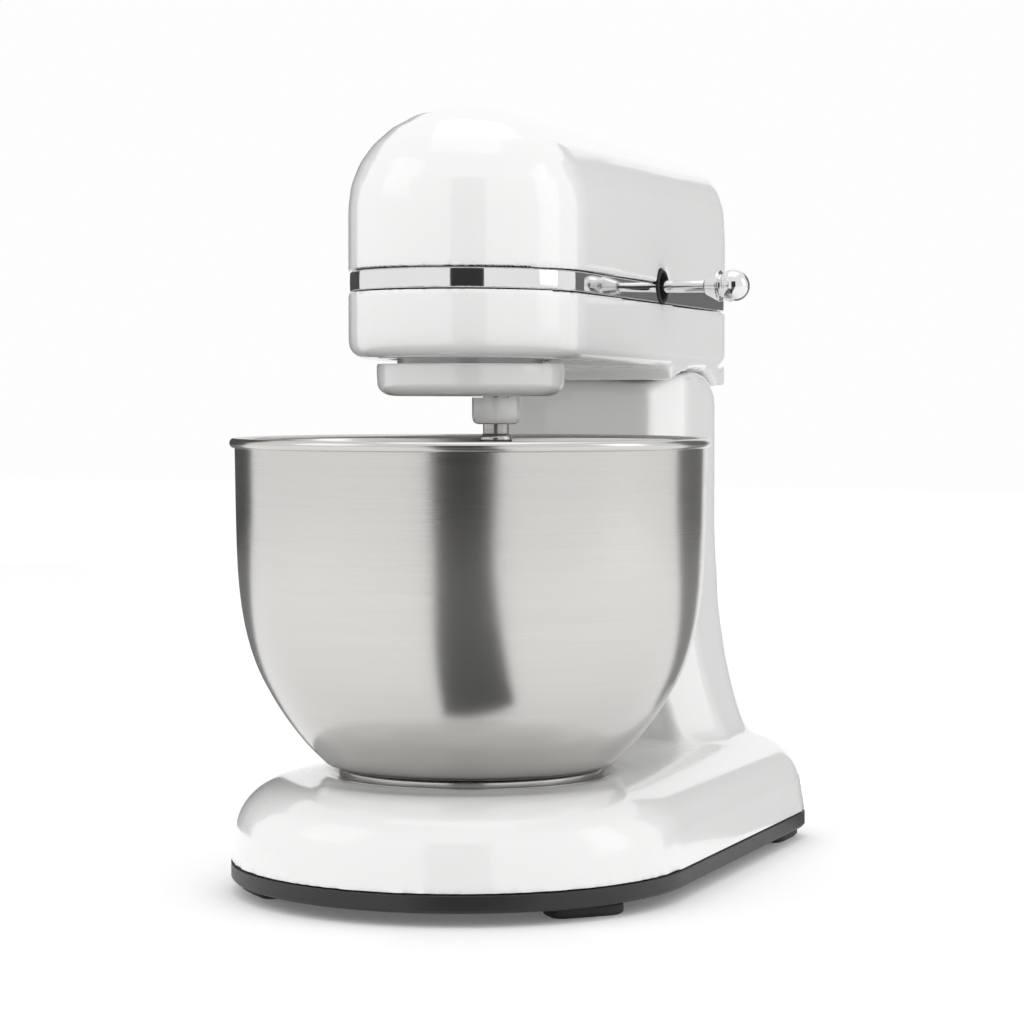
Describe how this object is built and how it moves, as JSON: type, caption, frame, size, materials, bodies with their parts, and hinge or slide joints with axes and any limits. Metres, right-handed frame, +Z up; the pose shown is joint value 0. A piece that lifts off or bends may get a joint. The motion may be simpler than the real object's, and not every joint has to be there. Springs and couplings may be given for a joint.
{
  "type": "stand mixer",
  "caption": "Tilt-head stand mixer: white enamelled body, chrome trim band, side speed lever and a brushed steel bowl on a twist-lock seat.",
  "frame": {"origin": "middle of the box, on the surface that the feet stand on", "axes": "+Z up, the nose points along -Y, the speed lever is on the +X side"},
  "size_m": [0.191, 0.303, 0.3095],
  "materials": {
    "enamel": "glossy white enamel",
    "bowl_steel": "brushed round the bowl",
    "chrome": "polished",
    "shaft_steel": "ground steel",
    "dark_plastic": "fine grained",
    "rubber": "matt",
    "cast_metal": "plain",
    "bronze": "plain"
  },
  "bodies": {
    "base": {"base_column": "enamel", "bottom_cover": "dark_plastic", "foot_front_left": "rubber", "foot_front_right": "rubber", "foot_rear_left": "rubber", "foot_rear_right": "rubber", "cord_inlet_bushing": "rubber", "bowl_clamp_plate": "cast_metal", "clamp_screw_1": "shaft_steel", "clamp_screw_2": "shaft_steel", "clamp_screw_3": "shaft_steel", "hinge_pin": "shaft_steel"},
    "head": {"upper_cover": "enamel", "trim_band": "chrome", "lower_cover": "enamel", "lever_grommet": "rubber", "speed_lever_post": "shaft_steel", "internal_ring_gear": "cast_metal", "gearcase_plate": "cast_metal", "cross_shaft_bearing_left": "bronze", "cross_shaft_bearing_right": "bronze", "motor_stator": "cast_metal", "motor_bearing_front": "bronze", "motor_bearing_rear": "bronze", "brush_left": "cast_metal", "brush_right": "cast_metal", "speed_control_board": "dark_plastic"},
    "speed_lever": {"speed_lever_rod": "chrome", "speed_lever_knob": "chrome", "speed_lever_hub": "cast_metal"},
    "head_lock": {"lock_knob": "chrome", "lock_bar": "cast_metal"},
    "planetary": {"planetary_disc": "enamel", "beater_sleeve": "enamel", "planetary_shaft": "shaft_steel", "bevel_gear": "bronze"},
    "beater": {"beater_shaft": "shaft_steel", "beater_drive_pin": "shaft_steel", "planet_pinion": "cast_metal"},
    "cross_gears": {"cross_shaft": "shaft_steel", "worm_wheel": "bronze", "bevel_pinion": "cast_metal"},
    "armature": {"armature_shaft": "shaft_steel", "armature_core": "cast_metal", "motor_worm": "cast_metal", "commutator": "bronze", "cooling_fan": "dark_plastic"},
    "mixing_bowl": {"bowl": "bowl_steel", "bowl_foot_ring": "bowl_steel"}
  },
  "joints": [
    {"name": "head_tilt", "type": "hinge", "parent": "base", "child": "head", "pos_m": [0, 0.1055, 0.165], "axis": [-1, 0, 0], "range_deg": [0, 45]},
    {"name": "speed_lever", "type": "hinge", "parent": "head", "child": "speed_lever", "pos_m": [0.022, 0.0445, 0.24], "axis": [0, 0, 1], "range_deg": [-6, 6]},
    {"name": "head_lock", "type": "slide", "parent": "head", "child": "head_lock", "axis": [0, 1, 0], "range_m": [0, 0.01]},
    {"name": "planetary_spin", "type": "hinge", "parent": "head", "child": "planetary", "pos_m": [0, -0.0515, 0.1943], "axis": [0, 0, 1], "continuous": true},
    {"name": "beater_spin", "type": "hinge", "parent": "planetary", "child": "beater", "pos_m": [0.01474, -0.06182, 0.15], "axis": [0, 0, 1], "continuous": true},
    {"name": "cross_gear_spin", "type": "hinge", "parent": "head", "child": "cross_gears", "pos_m": [0, -0.0515, 0.2416], "axis": [1, 0, 0], "continuous": true},
    {"name": "motor_spin", "type": "hinge", "parent": "head", "child": "armature", "pos_m": [0, -0.0515, 0.26], "axis": [0, 1, 0], "continuous": true},
    {"name": "bowl_twist", "type": "hinge", "parent": "base", "child": "mixing_bowl", "pos_m": [0, -0.0515, 0.045], "axis": [0, 0, 1], "range_deg": [0, 40]}
  ],
  "couplings": [
    {"joint": "cross_gear_spin", "follows": "motor_spin", "ratio": 0.083333},
    {"joint": "planetary_spin", "follows": "motor_spin", "ratio": 0.041667},
    {"joint": "beater_spin", "follows": "motor_spin", "ratio": -0.125}
  ]
}
